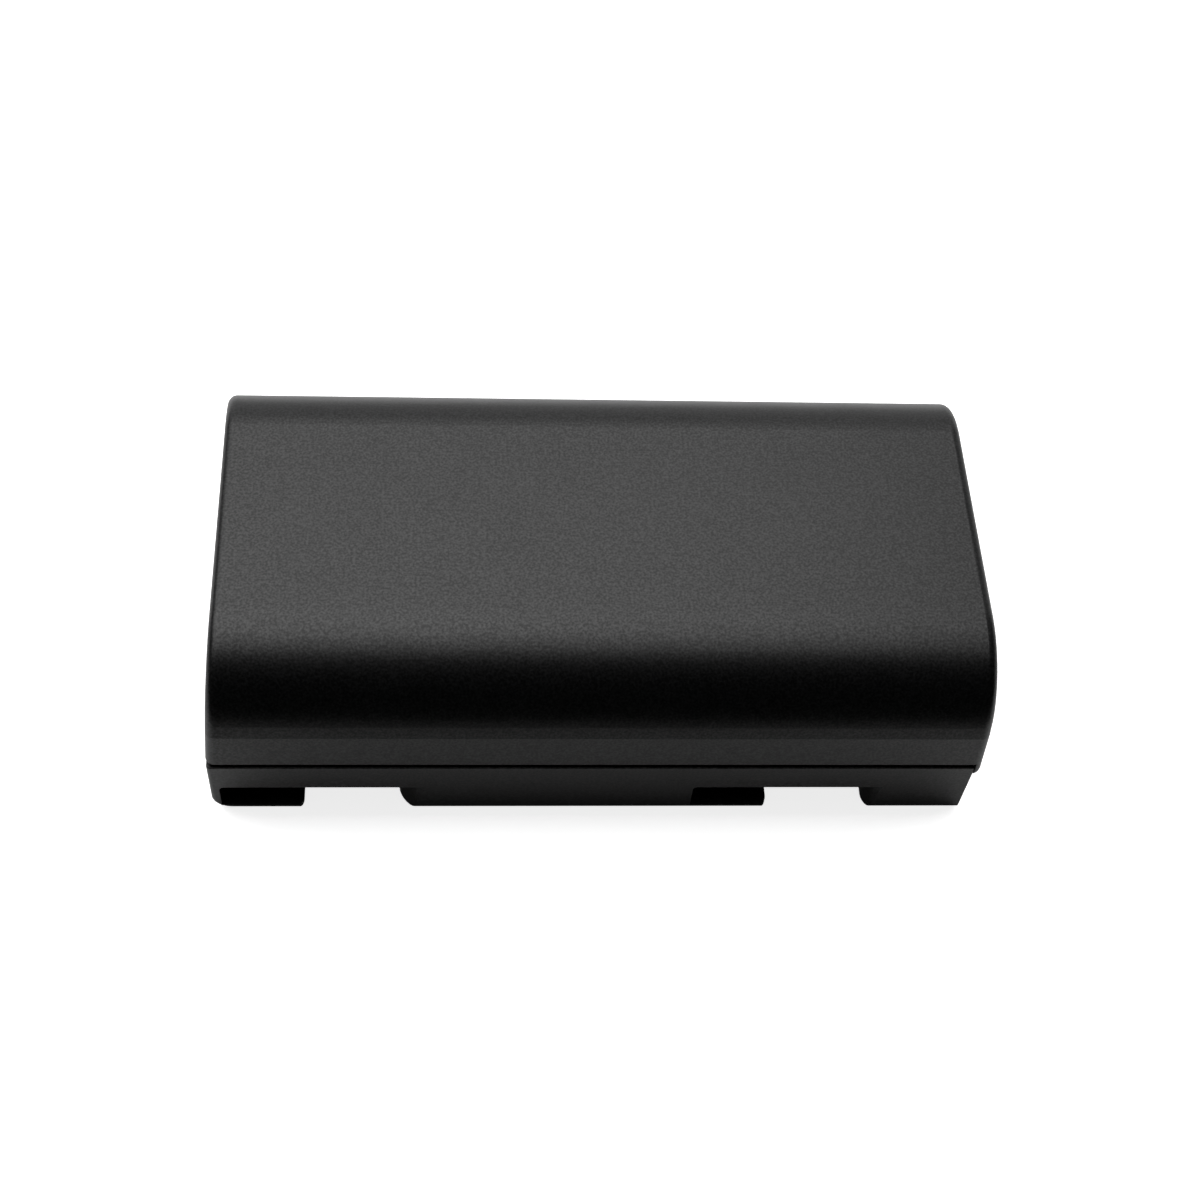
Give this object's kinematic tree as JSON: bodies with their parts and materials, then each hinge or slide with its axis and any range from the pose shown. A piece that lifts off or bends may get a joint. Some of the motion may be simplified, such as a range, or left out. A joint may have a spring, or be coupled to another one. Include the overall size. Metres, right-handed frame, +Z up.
{
  "type": "slide-on battery pack",
  "caption": "Low black battery pack with rounded shoulders, hook slots along both lower edges and sunken contacts at one end, for sliding onto a medical device.",
  "frame": {"origin": "middle of the underside, on the surface that the pack rests on", "axes": "+X along the length towards the terminal end, +Y across the width, +Z up to the rounded upper case"},
  "size_m": [0.0706, 0.0382, 0.0205],
  "materials": {
    "case_plastic": "black moulded plastic with a fine spark-eroded grain",
    "cell_sleeve": "shrunk plastic sleeve over a nickel-plated steel can",
    "insulating_paper": "pressed fish paper",
    "foam_tape": "white double-sided foam tape",
    "nickel_strip": "rolled nickel",
    "wire_insulation": "white silicone insulation",
    "board_laminate": "glass-epoxy laminate under green solder mask",
    "package_epoxy": "moulded black epoxy",
    "chip_ceramic": "fired tan ceramic",
    "chip_film": "black coated resistor film",
    "holder_plastic": "black moulded plastic",
    "contact_plating": "gold-plated phosphor bronze"
  },
  "bodies": {
    "root": {"upper_case": "case_plastic", "base_case": "case_plastic", "cell_front": "cell_sleeve", "cell_rear": "cell_sleeve", "insulator_ring_front": "insulating_paper", "insulator_ring_rear": "insulating_paper", "cell_tape_front": "foam_tape", "cell_tape_rear": "foam_tape", "series_link": "nickel_strip", "end_insulator": "insulating_paper", "positive_strip": "nickel_strip", "negative_strip": "nickel_strip", "midpoint_wire": "wire_insulation", "board_insulator": "insulating_paper", "protection_board": "board_laminate", "protection_ic": "package_epoxy", "switch_transistor": "package_epoxy", "board_fuse": "chip_ceramic", "thermistor": "chip_ceramic", "chip_resistors": "chip_film", "chip_capacitors": "chip_ceramic", "terminal_holder": "holder_plastic", "contact_positive": "contact_plating", "contact_sense": "contact_plating", "contact_data": "contact_plating", "contact_negative": "contact_plating"}
  },
  "joints": []
}
